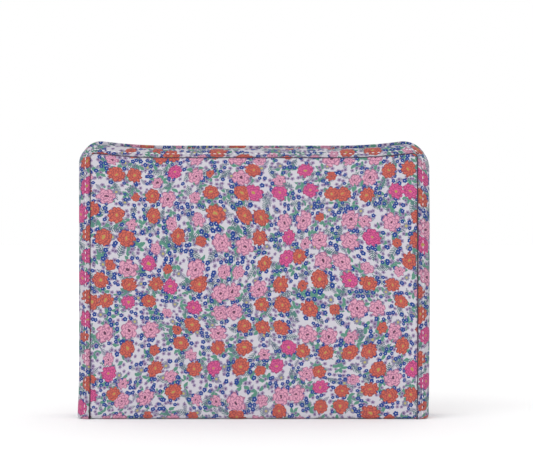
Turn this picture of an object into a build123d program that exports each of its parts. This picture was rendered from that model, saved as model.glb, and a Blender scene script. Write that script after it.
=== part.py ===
from build123d import *
from math import atan, degrees, sin
import os

# A hanging toiletry bag: two soft half shells that open like a book about their bottom edges,
# closed by one long zip round the left, top and right, with two zip pockets in each half and a
# folding hook on the back. Millimetres, +Z up, front towards -Y. The origin is at the middle of
# the base, where the two halves meet.

os.makedirs("parts", exist_ok=True)

# The case, closed and standing
case_width = 305
case_height = 241  # at the two top corners
half_depth = 32  # each half shell, front to back
top_sag = 4.5  # how far the middle of the top lies below its corners
level_half = 75  # half the length of the level middle of the top
corner_radius = 21
shoulder_radius = 11  # between a face and its gusset
base_radius = 4  # between a face and the base
mouth_gap = 0.4  # from the middle plane to each half's mouth

# The wall, from outside in
canvas_ply = 0.8
foam_ply = 3.2
lining_ply = 0.6
ply_gap = 0.05
least_radius = 0.6  # of a fillet on an inner ply

# The seam between each face panel and its gusset
seam_side = 10.4  # in from the case's side
seam_top = 12
seam_corner = 5

# The main zip
zip_reveal = 8  # from the middle plane to the gusset's edge
tape_ply = 0.7
tape_reach = 14  # from the middle plane to the tape's hidden edge
coil_near = 0.65
coil_far = 3.2
coil_thick = 2.0
coil_foot = 9  # height at which the coils start
stop_height = 2.6
stop_proud = 0.4

# The main zip's sliders and pulls
slider_spacing = 14  # between the two sliders' middles, nose to nose
slider_length = 11
slider_nose = 10.8  # width at the end where the two rows part
slider_tail = 9
slider_plate = 1.1
slider_clearance = 0.4  # to the coils and the tape
slider_round = 1
lip_length = 8.6
lip_width = 0.9
wedge_length = 3
wedge_width = 0.6
bail_radius = 0.7
bail_post = 0.8
bail_foot = 2.4
eye_clearance = 0.35  # between a pull's eye and the slider
eye_radius = 1.6
eye_width = 2
pull_neck = 4
pull_flare = 4
pull_length = 32
pull_width = 8
pull_thick = 1.2
pull_hole = 2.2  # radius

# The bindings and the tape that hinges the halves inside the base
binding_ply = 0.6
rim_binding_gap = 0.5  # beyond the zip tape
rim_binding_width = 6
hinge_tape_width = 20
hinge_tape_length = 280

# The pockets, two in each half
pocket_width = 276
pocket_face = 12  # from the middle plane to a pocket's face
pocket_ply = 0.6
pocket_corner = 5
pocket_foot = 8  # of the lower pocket
pocket_height = 105
pocket_spacing = 6  # between the pockets of one half
pocket_binding = 7
pocket_zip_drop = 9  # from a pocket's top to the middle of its zip
pocket_reveal = 5  # from the middle of the zip to the panel's edge
pocket_tape = 0.5
pocket_coil_near = 0.6
pocket_coil_far = 2.2
pocket_coil_thick = 1.6
pocket_coil_end = 3.5  # from a coil's end to the pocket's side
pocket_slider_end = 14  # from the closed slider's middle to the pocket's side
pocket_slider_length = 9
pocket_slider_width = 8.4
pocket_slider_plate = 0.9
pocket_slider_clearance = 0.3
pocket_lip_width = 1.4
pocket_wedge_width = 0.5
pocket_wedge_length = 2.5
pocket_bail_radius = 0.5
pocket_bail_post = 0.6
pocket_bail_foot = 1.8
pocket_eye_clearance = 0.3
pocket_eye_radius = 1.3
pocket_eye_width = 1.6
pocket_pull_neck = 3.5
pocket_pull_flare = 3
pocket_pull_length = 17
pocket_pull_width = 5
pocket_pull_thick = 1

# The hanger on the back
webbing_width = 25
webbing_ply = 1.2
webbing_tail = 24
hook_bar_radius = 2.2
hook_bar_clearance = 0.3
hook_stand = 0.3  # from the back panel to the webbing's loop
hook_arm_gap = 1  # between the webbing and each arm
hook_arm = 4.4
hook_arm_drop = 7
hook_thick = 4.4
hook_frame_drop = 24  # from the bar to the frame's foot
hook_neck_width = 8
hook_neck_length = 5
hook_throat = 15  # radius inside the hook
hook_wire = 5.6
hook_sweep = 215  # degrees
hook_round = 1.2

foam_outer = canvas_ply + ply_gap
foam_inner = foam_outer + foam_ply
lining_outer = foam_inner + ply_gap
wall = lining_outer + lining_ply
zip_inset = wall + ply_gap  # of the tape's outer face
half_width = case_width / 2
mid_top = case_height - top_sag
tape_top = mid_top - zip_inset
tape_foot = tape_top - tape_ply
coil_top = tape_top + (coil_thick - tape_ply) / 2
coil_bottom = coil_top - coil_thick


# An outline: straight sides, rounded top corners, and a top that is level in the middle and
# rises to the corners in two shallow arcs.
def arched_outline(half, top, corner, foot):
    reach = half - level_half - corner
    turn = 2 * atan(top_sag / reach)
    sag_radius = reach / sin(turn) - corner
    level = top - top_sag
    with BuildSketch() as outline:
        with BuildLine():
            Line((0, level), (level_half, level))
            rise = JernArc((level_half, level), (1, 0), sag_radius, degrees(turn))
            round_off = JernArc(rise @ 1, rise % 1, corner, -90 - degrees(turn))
            Polyline(round_off @ 1, (half, foot), (0, foot))
            mirror(about=Plane.YZ)
        make_face()
    return outline.sketch


# The case's outline moved in by an inset.
def case_outline(inset, foot):
    return arched_outline(
        half_width - inset, case_height - inset, corner_radius - inset, foot
    )


# A solid that fills the front half of the case, moved in by an inset, from its mouth forwards.
def shell_plug(inset, mouth):
    outline = case_outline(inset, inset)
    with BuildPart() as plug:
        with BuildSketch(Plane.XZ.offset(mouth)):
            add(outline)
        extrude(amount=half_depth - inset - mouth)
        face_edges = plug.faces().sort_by(Axis.Y)[0].edges()
        base_edges = face_edges.filter_by_position(Axis.Z, inset - 0.1, inset + 0.1)
        fillet(face_edges - base_edges, radius=shoulder_radius - inset)
        face_edges = plug.faces().sort_by(Axis.Y)[0].edges()
        base_edges = face_edges.filter_by_position(Axis.Z, inset - 0.1, inset + 0.1)
        fillet(base_edges, radius=max(base_radius - inset, least_radius))
    return plug.part


# A band that runs up one side of the mouth, over the top and down the other side.
def mouth_band(outer, inner, near, far, foot):
    outside = case_outline(outer, foot)
    inside = case_outline(inner, foot - 1)
    with BuildPart() as band:
        with BuildSketch(Plane.XZ.offset(near)):
            add(outside)
            add(inside, mode=Mode.SUBTRACT)
        extrude(amount=far - near)
    return band.part


# One ply of the front half, with the strip where the zip shows cut away.
def shell_ply(outer, inner):
    outside = shell_plug(outer, mouth_gap)
    inside = shell_plug(inner, 0)
    zip_strip = mouth_band(-1, zip_inset + 1, 0, zip_reveal, wall)
    with BuildPart() as ply:
        add(outside)
        add(inside, mode=Mode.SUBTRACT)
        add(zip_strip, mode=Mode.SUBTRACT)
    return ply.part


def write(part, name):
    part.label = name
    export_step(part, f"parts/{name}.step")


# Writes a piece of the front half, and its twin for the back half.
def write_both(part, name):
    with BuildPart() as twin:
        mirror(part, about=Plane.XZ)
    write(part, f"front_{name}")
    write(twin.part, f"back_{name}")


# Writes a piece on the right, and its twin on the left.
def write_sides(part, name):
    with BuildPart() as twin:
        mirror(part, about=Plane.YZ)
    write(part, f"{name}_right")
    write(twin.part, f"{name}_left")


canvas = shell_ply(0, canvas_ply)
seam_outline = arched_outline(half_width - seam_side, case_height - seam_top, seam_corner, -1)

with BuildPart() as panel:
    with BuildSketch(Plane.XZ):
        add(seam_outline)
    extrude(amount=half_depth + 1)
    add(canvas, mode=Mode.INTERSECT)
write_both(panel.part, "panel")

with BuildPart() as gusset:
    add(canvas)
    add(panel.part, mode=Mode.SUBTRACT)
write_both(gusset.part, "gusset")

foam = shell_ply(foam_outer, foam_inner)
write_both(foam, "foam")

lining = shell_ply(lining_outer, wall)
write_both(lining, "lining")

zip_tape = mouth_band(zip_inset, zip_inset + tape_ply, coil_far, tape_reach, wall + least_radius)
write_both(zip_tape, "zip_tape")

coil_inset = mid_top - coil_top
zip_coil = mouth_band(coil_inset, coil_inset + coil_thick, coil_near, coil_far, coil_foot)
write_both(zip_coil, "zip_coil")

with BuildPart() as zip_stops:
    stop_x = half_width - coil_inset - coil_thick / 2
    stop_z = coil_foot - ply_gap - stop_height / 2
    with BuildSketch(Plane.XZ.offset(coil_near)):
        with Locations((-stop_x, stop_z), (stop_x, stop_z)):
            Rectangle(coil_thick + 2 * stop_proud, stop_height)
    extrude(amount=coil_far - ply_gap - coil_near)
write_both(zip_stops.part, "zip_stops")

binding_near = tape_reach + rim_binding_gap
rim_binding = mouth_band(
    zip_inset,
    zip_inset + binding_ply,
    binding_near,
    binding_near + rim_binding_width,
    wall + binding_ply + 2 * ply_gap,
)
write_both(rim_binding, "rim_binding")

with BuildPart() as hinge_tape:
    with BuildSketch(Plane.XY.offset(wall + ply_gap)):
        Rectangle(hinge_tape_length, hinge_tape_width)
    extrude(amount=binding_ply)
write(hinge_tape.part, "hinge_tape")

# The right-hand slider of the main zip, its nose towards the middle of the case. Only its back
# half has lips, so the front row of the zip can leave it when the cover opens.
slider_x = slider_spacing / 2
slider_top = coil_top + slider_clearance
slider_bottom = coil_bottom - slider_clearance
bail_z = slider_top + slider_plate + eye_radius + eye_clearance
post_y = (eye_width + bail_post) / 2 + eye_clearance

with BuildPart() as slider:
    nose_x = slider_x - slider_length / 2
    tail_x = slider_x + slider_length / 2
    for level in (slider_top, slider_bottom - slider_plate):
        with BuildSketch(Plane.XY.offset(level)) as plate:
            Polygon(
                (nose_x, slider_nose / 2),
                (nose_x, -slider_nose / 2),
                (nose_x + wedge_length, -slider_nose / 2),
                (tail_x, -slider_tail / 2),
                (tail_x, slider_tail / 2),
                (nose_x + wedge_length, slider_nose / 2),
                align=None,
            )
            fillet(plate.vertices(), radius=slider_round)
        extrude(amount=slider_plate)
    lip_y = (slider_tail - lip_width) / 2
    upper_lip = tape_top + slider_clearance
    lower_lip = tape_foot - slider_clearance
    for low, high in ((upper_lip, slider_top), (slider_bottom, lower_lip)):
        with BuildSketch(Plane.XY.offset(low)):
            with Locations((slider_x, lip_y)):
                Rectangle(lip_length, lip_width)
        extrude(amount=high - low)
    with BuildSketch(Plane.XY.offset(slider_bottom)):
        with Locations((nose_x + wedge_length / 2, 0)):
            Rectangle(wedge_length, wedge_width)
    extrude(amount=slider_top - slider_bottom)
    with BuildSketch(Plane.XY.offset(slider_top + slider_plate)):
        with Locations((slider_x, post_y), (slider_x, -post_y)):
            Rectangle(bail_foot, bail_post)
    extrude(amount=eye_radius + eye_clearance + bail_radius)
    with BuildSketch(Plane.XZ):
        with Locations((slider_x, bail_z)):
            Circle(bail_radius)
    extrude(amount=post_y, both=True)
write_sides(slider.part, "slider")

# The pull lies outwards along the zip, with its eye round the slider's bail.
with BuildPart() as pull:
    blade_x = slider_x + pull_neck
    pull_end = slider_x + pull_length
    with BuildSketch(Plane.XZ):
        with Locations((slider_x, bail_z)):
            Circle(eye_radius)
            Rectangle(pull_neck, pull_thick, align=(Align.MIN, Align.CENTER))
            Circle(bail_radius + eye_clearance, mode=Mode.SUBTRACT)
    extrude(amount=eye_width / 2, both=True)
    with BuildSketch(Plane.XY.offset(bail_z - pull_thick / 2)) as blade:
        Polygon(
            (blade_x, eye_width / 2),
            (blade_x, -eye_width / 2),
            (blade_x + pull_flare, -pull_width / 2),
            (pull_end, -pull_width / 2),
            (pull_end, pull_width / 2),
            (blade_x + pull_flare, pull_width / 2),
            align=None,
        )
        fillet(blade.vertices().group_by(Axis.X)[-1], radius=pull_width / 3)
        with Locations((pull_end - pull_width * 0.7, 0)):
            Circle(pull_hole, mode=Mode.SUBTRACT)
    extrude(amount=pull_thick)
write_sides(pull.part, "pull")


# The pieces of one pocket of the back half, from its foot to its top.
def pocket_pieces(foot, top):
    half = pocket_width / 2
    inner_half = half - pocket_ply
    inner_corner = pocket_corner - pocket_ply
    height = top - foot
    middle_z = (foot + top) / 2
    zip_z = top - pocket_zip_drop
    rear = half_depth - wall - ply_gap
    face_plane = Plane.XZ.offset(-pocket_face)

    with BuildPart() as front:
        with BuildSketch(face_plane):
            with Locations((0, middle_z)):
                RectangleRounded(pocket_width, height, pocket_corner)
            with Locations((0, zip_z - pocket_reveal)):
                Rectangle(
                    pocket_width,
                    height,
                    align=(Align.CENTER, Align.MIN),
                    mode=Mode.SUBTRACT,
                )
        extrude(amount=-pocket_ply)

    with BuildPart() as header:
        with BuildSketch(face_plane):
            with Locations((0, middle_z)):
                RectangleRounded(pocket_width, height, pocket_corner)
            with Locations((0, zip_z + pocket_reveal)):
                Rectangle(
                    pocket_width,
                    height,
                    align=(Align.CENTER, Align.MAX),
                    mode=Mode.SUBTRACT,
                )
        extrude(amount=-pocket_ply)

    walls_front = pocket_face + pocket_ply + ply_gap
    with BuildPart() as walls:
        with BuildSketch(Plane.XZ.offset(-walls_front)):
            with Locations((0, middle_z)):
                RectangleRounded(pocket_width, height, pocket_corner)
                RectangleRounded(
                    2 * inner_half,
                    height - 2 * pocket_ply,
                    inner_corner,
                    mode=Mode.SUBTRACT,
                )
        extrude(amount=walls_front - rear)

    with BuildPart() as binding:
        with BuildSketch(face_plane.offset(ply_gap)):
            with Locations((0, middle_z)):
                RectangleRounded(pocket_width, height, pocket_corner)
            with Locations((0, foot + pocket_binding)):
                Rectangle(
                    pocket_width - 2 * pocket_binding,
                    height,
                    align=(Align.CENTER, Align.MIN),
                    mode=Mode.SUBTRACT,
                )
        extrude(amount=binding_ply)

    tape_front = walls_front
    tape_far = pocket_zip_drop - pocket_ply - ply_gap
    with BuildPart() as zip_tapes:
        with BuildSketch(Plane.XZ.offset(-tape_front)):
            with Locations((0, zip_z)):
                RectangleRounded(
                    2 * (inner_half - ply_gap),
                    2 * tape_far,
                    inner_corner - ply_gap,
                )
                Rectangle(pocket_width, 2 * pocket_coil_far, mode=Mode.SUBTRACT)
        extrude(amount=-pocket_tape)

    coil_front = tape_front - (pocket_coil_thick - pocket_tape) / 2
    with BuildPart() as zip_coils:
        with BuildSketch(Plane.XZ.offset(-coil_front)):
            with Locations((0, zip_z)):
                Rectangle(pocket_width - 2 * pocket_coil_end, 2 * pocket_coil_far)
                Rectangle(pocket_width, 2 * pocket_coil_near, mode=Mode.SUBTRACT)
        extrude(amount=-pocket_coil_thick)

    closed_x = half - pocket_slider_end
    front_plate = coil_front - pocket_slider_clearance - pocket_slider_plate
    back_plate = coil_front + pocket_coil_thick + pocket_slider_clearance
    channel = front_plate + pocket_slider_plate
    bail_y = front_plate - pocket_eye_clearance - pocket_eye_radius
    post_z = (pocket_eye_width + pocket_bail_post) / 2 + pocket_eye_clearance
    with BuildPart() as slider:
        for plate_y in (front_plate, back_plate):
            with BuildSketch(Plane.XZ.offset(-plate_y)):
                with Locations((closed_x, zip_z)):
                    RectangleRounded(pocket_slider_length, pocket_slider_width, slider_round)
            extrude(amount=-pocket_slider_plate)
        lip_z = (pocket_slider_width - pocket_lip_width) / 2
        front_lip = tape_front - pocket_slider_clearance
        back_lip = tape_front + pocket_tape + pocket_slider_clearance
        for near, far in ((channel, front_lip), (back_lip, back_plate)):
            with BuildSketch(Plane.XZ.offset(-near)):
                with Locations((closed_x, zip_z + lip_z), (closed_x, zip_z - lip_z)):
                    Rectangle(pocket_slider_length - 2 * slider_round, pocket_lip_width)
            extrude(amount=near - far)
        with BuildSketch(Plane.XZ.offset(-channel)):
            with Locations((closed_x + pocket_slider_length / 2, zip_z)):
                Rectangle(
                    pocket_wedge_length,
                    pocket_wedge_width,
                    align=(Align.MAX, Align.CENTER),
                )
        extrude(amount=channel - back_plate)
        with BuildSketch(Plane.XZ.offset(-front_plate)):
            with Locations((closed_x, zip_z + post_z), (closed_x, zip_z - post_z)):
                Rectangle(pocket_bail_foot, pocket_bail_post)
        extrude(amount=front_plate - bail_y + pocket_bail_radius)
        with BuildSketch(Plane.XY.offset(zip_z)):
            with Locations((closed_x, bail_y)):
                Circle(pocket_bail_radius)
        extrude(amount=post_z, both=True)

    with BuildPart() as pull:
        pull_end = closed_x - pocket_pull_length
        blade_x = closed_x - pocket_pull_neck
        with BuildSketch(Plane.XY.offset(zip_z)):
            with Locations((closed_x, bail_y)):
                Circle(pocket_eye_radius)
                Rectangle(
                    pocket_pull_neck,
                    pocket_pull_thick,
                    align=(Align.MAX, Align.CENTER),
                )
                Circle(pocket_bail_radius + pocket_eye_clearance, mode=Mode.SUBTRACT)
        extrude(amount=pocket_eye_width / 2, both=True)
        with BuildSketch(Plane.XZ.offset(pocket_pull_thick / 2 - bail_y)) as blade:
            Polygon(
                (blade_x, zip_z - pocket_eye_width / 2),
                (blade_x, zip_z + pocket_eye_width / 2),
                (blade_x - pocket_pull_flare, zip_z + pocket_pull_width / 2),
                (pull_end, zip_z + pocket_pull_width / 2),
                (pull_end, zip_z - pocket_pull_width / 2),
                (blade_x - pocket_pull_flare, zip_z - pocket_pull_width / 2),
                align=None,
            )
            fillet(blade.vertices().group_by(Axis.X)[0], radius=pocket_pull_width / 3)
        extrude(amount=-pocket_pull_thick)

    return {
        "front": front.part,
        "header": header.part,
        "walls": walls.part,
        "binding": binding.part,
        "zip_tapes": zip_tapes.part,
        "zip_coils": zip_coils.part,
        "slider": slider.part,
        "pull": pull.part,
    }


# Hung open, every pocket has its zip at its top. The cover's pockets are the back half's turned
# over about their own middles, so they stand on their heads while the bag is closed.
upper_foot = pocket_foot + pocket_height + pocket_spacing
for foot, back_name, cover_name in (
    (upper_foot, "pocket_1", "pocket_4"),
    (pocket_foot, "pocket_2", "pocket_3"),
):
    top = foot + pocket_height
    for piece_name, piece in pocket_pieces(foot, top).items():
        with BuildPart() as turned:
            with Locations((0, 0, foot + top)):
                add(piece, rotation=(180, 0, 0))
        write(turned.part, f"{cover_name}_{piece_name}")
        write(piece, f"{back_name}_{piece_name}")

# The webbing loop on the back panel, and the hook that hangs folded down from it.
loop_inner = hook_bar_radius + hook_bar_clearance
loop_outer = loop_inner + webbing_ply
bar_y = half_depth + hook_stand + loop_outer
bar_z = mid_top - seam_top
ring_radius = hook_throat + hook_wire / 2
hook_arc = CenterArc((0, 0), ring_radius, 90, -hook_sweep)

with BuildPart() as hanger_loop:
    with BuildSketch(Plane.YZ):
        with Locations((half_depth + ply_gap, bar_z)):
            Rectangle(webbing_ply, webbing_tail, align=(Align.MIN, Align.MAX))
        with Locations((bar_y, bar_z)):
            Circle(loop_outer)
            Circle(loop_inner, mode=Mode.SUBTRACT)
    extrude(amount=webbing_width / 2, both=True)
write(hanger_loop.part, "hanger_loop")

with BuildPart() as hanger_hook:
    arm_inner = webbing_width / 2 + hook_arm_gap
    arm_outer = arm_inner + hook_arm
    neck_half = hook_neck_width / 2
    arm_top = bar_z + hook_bar_radius
    arm_foot = bar_z - hook_arm_drop
    frame_foot = bar_z - hook_frame_drop
    neck_foot = frame_foot - hook_neck_length
    ring_z = neck_foot - ring_radius
    with BuildSketch(Plane.XZ.offset(hook_thick / 2 - bar_y)) as flat:
        Polygon(
            (-arm_outer, arm_top),
            (-arm_outer, arm_foot),
            (-neck_half, frame_foot),
            (neck_half, frame_foot),
            (arm_outer, arm_foot),
            (arm_outer, arm_top),
            align=None,
        )
        Polygon(
            (-arm_inner, arm_top + 1),
            (-arm_inner, arm_foot + 1),
            (-neck_half / 2, frame_foot + hook_arm),
            (neck_half / 2, frame_foot + hook_arm),
            (arm_inner, arm_foot + 1),
            (arm_inner, arm_top + 1),
            align=None,
            mode=Mode.SUBTRACT,
        )
        fillet(flat.vertices(), radius=hook_round)
        with Locations((0, frame_foot + 1)):
            Rectangle(hook_neck_width, hook_neck_length + 2, align=(Align.CENTER, Align.MAX))
        with Locations((0, ring_z)):
            SlotArc(hook_arc, hook_wire)
    extrude(amount=-hook_thick)
    with BuildSketch(Plane.YZ):
        with Locations((bar_y, bar_z)):
            Circle(hook_bar_radius)
    extrude(amount=arm_inner + 1, both=True)
write(hanger_hook.part, "hanger_hook")
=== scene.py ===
import bpy
import bmesh
from math import atan, ceil, cos, exp, hypot, pi, radians, sin
from mathutils import Matrix, Vector, noise


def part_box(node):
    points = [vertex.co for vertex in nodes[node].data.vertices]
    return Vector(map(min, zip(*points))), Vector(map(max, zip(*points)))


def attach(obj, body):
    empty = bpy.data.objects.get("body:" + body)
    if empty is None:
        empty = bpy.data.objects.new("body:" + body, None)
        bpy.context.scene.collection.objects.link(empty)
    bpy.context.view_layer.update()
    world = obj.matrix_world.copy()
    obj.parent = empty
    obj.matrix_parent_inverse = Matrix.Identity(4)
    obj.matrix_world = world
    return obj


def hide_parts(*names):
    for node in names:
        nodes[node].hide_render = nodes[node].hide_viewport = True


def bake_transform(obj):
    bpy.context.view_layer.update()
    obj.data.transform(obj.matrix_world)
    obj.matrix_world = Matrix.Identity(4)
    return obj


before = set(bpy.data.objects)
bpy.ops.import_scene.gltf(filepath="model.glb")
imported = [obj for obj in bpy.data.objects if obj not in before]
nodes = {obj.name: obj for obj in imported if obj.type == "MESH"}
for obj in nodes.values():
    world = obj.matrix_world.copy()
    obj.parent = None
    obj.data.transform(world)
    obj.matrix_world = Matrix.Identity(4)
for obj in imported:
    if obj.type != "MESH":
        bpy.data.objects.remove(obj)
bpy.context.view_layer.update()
mm = 0.001


def report(stage):
    print("toiletry bag:", stage)


def hexColour(text):
    # sRGB hex to the linear values that shaders take
    channels = [int(text[i : i + 2], 16) / 255 for i in (1, 3, 5)]
    linear = [c / 12.92 if c <= 0.04045 else ((c + 0.055) / 1.055) ** 2.4 for c in channels]
    return (*linear, 1.0)


# camera, light and floor
studio = {
    "cameraPlace": (0.011, -1.6, 0.158),
    "lens": 122.2,
    "skyStrength": 1.0,
    "keyStrength": 0.6,
    "keyTurn": (52, 0, -42),
    "keyAngle": 50,
    "floorColour": "#fcfcfc",
}

cameraData = bpy.data.cameras.new("camera")
cameraData.lens = studio["lens"]
camera = bpy.data.objects.new("camera", cameraData)
camera.location = studio["cameraPlace"]
camera.rotation_euler = (radians(90), 0, 0)
bpy.context.collection.objects.link(camera)
bpy.context.scene.camera = camera
bpy.context.scene.view_settings.view_transform = "Standard"

world = bpy.data.worlds.new("studio")  # even white light from all round
world.use_nodes = True
world.node_tree.nodes["Background"].inputs["Color"].default_value = (1, 1, 1, 1)
world.node_tree.nodes["Background"].inputs["Strength"].default_value = studio["skyStrength"]
bpy.context.scene.world = world

keyData = bpy.data.lights.new("key", "SUN")
keyData.energy = studio["keyStrength"]
keyData.angle = radians(studio["keyAngle"])
key = bpy.data.objects.new("key", keyData)
key.rotation_euler = [radians(a) for a in studio["keyTurn"]]
bpy.context.collection.objects.link(key)
report("camera and light")


# material building
def addNode(tree, kind, settings=None, links=()):
    # adds one node: settings by name, or just the operation, and links by socket or in order;
    # a link is a socket, a node (the first output in use) or a plain value
    node = tree.nodes.new("ShaderNode" + kind)
    if isinstance(settings, str):
        settings = {"operation": settings}
    for name, value in (settings or {}).items():
        setattr(node, name, value)
    links = links if isinstance(links, dict) else dict(enumerate(links))
    for name, value in links.items():
        if isinstance(value, bpy.types.Node):
            value = next(socket for socket in value.outputs if socket.enabled)
        if isinstance(value, bpy.types.NodeSocket):
            tree.links.new(value, node.inputs[name])
        else:
            node.inputs[name].default_value = value
    return node


def newMaterial(name, colour, roughness, settings=None):
    material = bpy.data.materials.new(name)
    material.use_nodes = True
    shader = material.node_tree.nodes["Principled BSDF"]
    shader.inputs["Base Color"].default_value = hexColour(colour)
    shader.inputs["Roughness"].default_value = roughness
    for socket, value in (settings or {}).items():
        shader.inputs[socket].default_value = value
    return material, material.node_tree, shader


def newGroup(name, inputs, outputs):
    group = bpy.data.node_groups.new(name, "ShaderNodeTree")
    for label, kind in inputs:
        group.interface.new_socket(label, in_out="INPUT", socket_type="NodeSocket" + kind)
    for label, kind in outputs:
        group.interface.new_socket(label, in_out="OUTPUT", socket_type="NodeSocket" + kind)
    return group, group.nodes.new("NodeGroupInput"), group.nodes.new("NodeGroupOutput")


def millimetres(tree, uvName="cloth", turn=0, shift=(0, 0)):
    # the piece's own flat place, in millimetres
    uv = addNode(tree, "UVMap", {"uv_map": uvName})
    place = addNode(tree, "Mapping", None, {"Vector": uv, "Scale": (1000, 1000, 1000)})
    place.inputs["Rotation"].default_value = (0, 0, radians(turn))
    place.inputs["Location"].default_value = (*shift, 0)
    return place.outputs[0]


def threadWaves(tree, vector, pitches, sharp=0.6):
    # over-and-under threads: two crossed waves at the two thread pitches
    bands = []
    for direction, pitch in zip("XY", pitches):
        settings = {"wave_type": "BANDS", "bands_direction": direction}
        scale = 2 * pi / 20 / pitch
        links = {"Vector": vector, "Scale": scale, "Distortion": sharp}
        bands.append(addNode(tree, "TexWave", settings, links))
    return addNode(tree, "Math", "MULTIPLY", [band.outputs[1] for band in bands])


def patterned(tree, shader, pattern, height=0.0, strength=0.6, dark=None, light=None):
    # lets a pattern raise the surface, by so many metres, and run the colour from dark to light
    if height:
        links = {"Height": pattern, "Distance": height, "Strength": strength}
        tree.links.new(addNode(tree, "Bump", None, links).outputs[0], shader.inputs["Normal"])
    if dark:
        links = {0: pattern, 6: hexColour(dark), 7: hexColour(light)}
        mix = addNode(tree, "Mix", {"data_type": "RGBA"}, links)
        tree.links.new(mix.outputs[2], shader.inputs["Base Color"])


# the printed canvas: a small-flower print made of scattered motifs, in millimetres
printColours = {
    "ground": "#cecbd3",
    "coral": "#cd6655",
    "coralLine": "#83404b",
    "pink": "#d65c92",
    "pinkLine": "#8f3a68",
    "pale": "#dd9fb7",
    "paleLine": "#8f5a7c",
    "olive": "#b19a58",
    "plum": "#614058",
    "blue": "#23438d",
    "blueEye": "#d2d5e2",
    "lilac": "#9b89ad",
    "lilacHeart": "#67537a",
    "daisy": "#85839a",
    "daisyHeart": "#b8b070",
    "leaf": "#5b937e",
    "fern": "#56757a",
    "twig": "#6a7087",
}


def makeScatter():
    # one motif to each cell: its own middle, its own turn and three random numbers
    group, start, end = newGroup(
        "scatter",
        [("Vector", "Vector"), ("Shift", "Vector"), ("Spacing", "Float"), ("Jitter", "Float")],
        [("Local", "Vector"), ("Random", "Color"), ("Middle", "Vector")],
    )
    moved = addNode(group, "VectorMath", "ADD", (start.outputs[0], start.outputs[1]))
    scale = addNode(group, "Math", "DIVIDE", (1.0, start.outputs[2]))
    cells = addNode(
        group,
        "TexVoronoi",
        {"voronoi_dimensions": "2D", "feature": "F1"},
        {"Vector": moved, "Scale": scale, "Randomness": start.outputs[3]},
    )
    local = addNode(group, "VectorMath", "SUBTRACT", (moved, cells.outputs["Position"]))
    parts = addNode(group, "SeparateColor", None, {0: cells.outputs["Color"]})
    angle = addNode(group, "Math", "MULTIPLY", (parts, 2 * pi))
    turned = addNode(group, "VectorRotate", {"rotation_type": "Z_AXIS"}, {"Vector": local, "Angle": angle})
    group.links.new(turned.outputs[0], end.inputs["Local"])
    group.links.new(cells.outputs["Color"], end.inputs["Random"])
    group.links.new(cells.outputs["Position"], end.inputs["Middle"])
    return group


def makeRosette():
    # distance from a scalloped flower's edge: 0 at its heart, 1 at its edge
    group, start, end = newGroup(
        "rosette",
        [("Local", "Vector")] + [(label, "Float") for label in ("Radius", "Petals", "Scallop", "Turn")],
        [("Ratio", "Float"), ("Lobe", "Float")],
    )
    axes = addNode(group, "SeparateXYZ", None, {0: start.outputs["Local"]})
    length = addNode(group, "VectorMath", "LENGTH", (start.outputs["Local"],))
    angle = addNode(group, "Math", {"operation": "ARCTAN2"}, {0: axes.outputs[1], 1: axes.outputs[0]})
    halfPetals = addNode(group, "Math", "MULTIPLY", (start.outputs["Petals"], 0.5))
    phase = addNode(group, "Math", "MULTIPLY_ADD", (angle, halfPetals, start.outputs["Turn"]))
    swing = addNode(group, "Math", "COSINE", (phase,))
    lobe = addNode(group, "Math", "ABSOLUTE", (swing,))
    gap = addNode(group, "Math", "SUBTRACT", (1.0, lobe))
    gapSquare = addNode(group, "Math", "MULTIPLY", (gap, gap))
    notch = addNode(group, "Math", "MULTIPLY", (gapSquare, start.outputs["Scallop"]))
    share = addNode(group, "Math", "SUBTRACT", (1.0, notch))
    edge = addNode(group, "Math", "MULTIPLY", (share, start.outputs["Radius"]))
    ratio = addNode(group, "Math", "DIVIDE", (length.outputs["Value"], edge))
    group.links.new(ratio.outputs[0], end.inputs["Ratio"])
    group.links.new(lobe.outputs[0], end.inputs["Lobe"])
    return group


def makeLeaf():
    # 1 inside a pointed leaf that grows along +X from the middle
    group, start, end = newGroup(
        "leaf",
        [("Local", "Vector"), ("Turn", "Float"), ("Start", "Float"), ("Length", "Float"), ("Width", "Float")],
        [("Inside", "Float"), ("Rib", "Float")],
    )
    turned = addNode(
        group,
        "VectorRotate",
        {"rotation_type": "Z_AXIS"},
        {"Vector": start.outputs["Local"], "Angle": start.outputs["Turn"]},
    )
    axes = addNode(group, "SeparateXYZ", None, {0: turned})
    along = addNode(group, "Math", "SUBTRACT", (axes, start.outputs["Start"]))
    share = addNode(group, "Math", "DIVIDE", (along, start.outputs["Length"]))
    rest = addNode(group, "Math", "SUBTRACT", (1.0, share))
    arch = addNode(group, "Math", "MULTIPLY", (share, rest))
    reach = addNode(group, "Math", "MULTIPLY", (arch, start.outputs["Width"]))
    reach = addNode(group, "Math", "MULTIPLY", (reach, 2.0))
    aside = addNode(group, "Math", "ABSOLUTE", (axes.outputs[1],))
    inside = addNode(group, "Math", "LESS_THAN", (aside, reach))
    rib = addNode(group, "Math", "LESS_THAN", (aside, 0.14))
    group.links.new(inside.outputs[0], end.inputs["Inside"])
    group.links.new(rib.outputs[0], end.inputs["Rib"])
    return group


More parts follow.
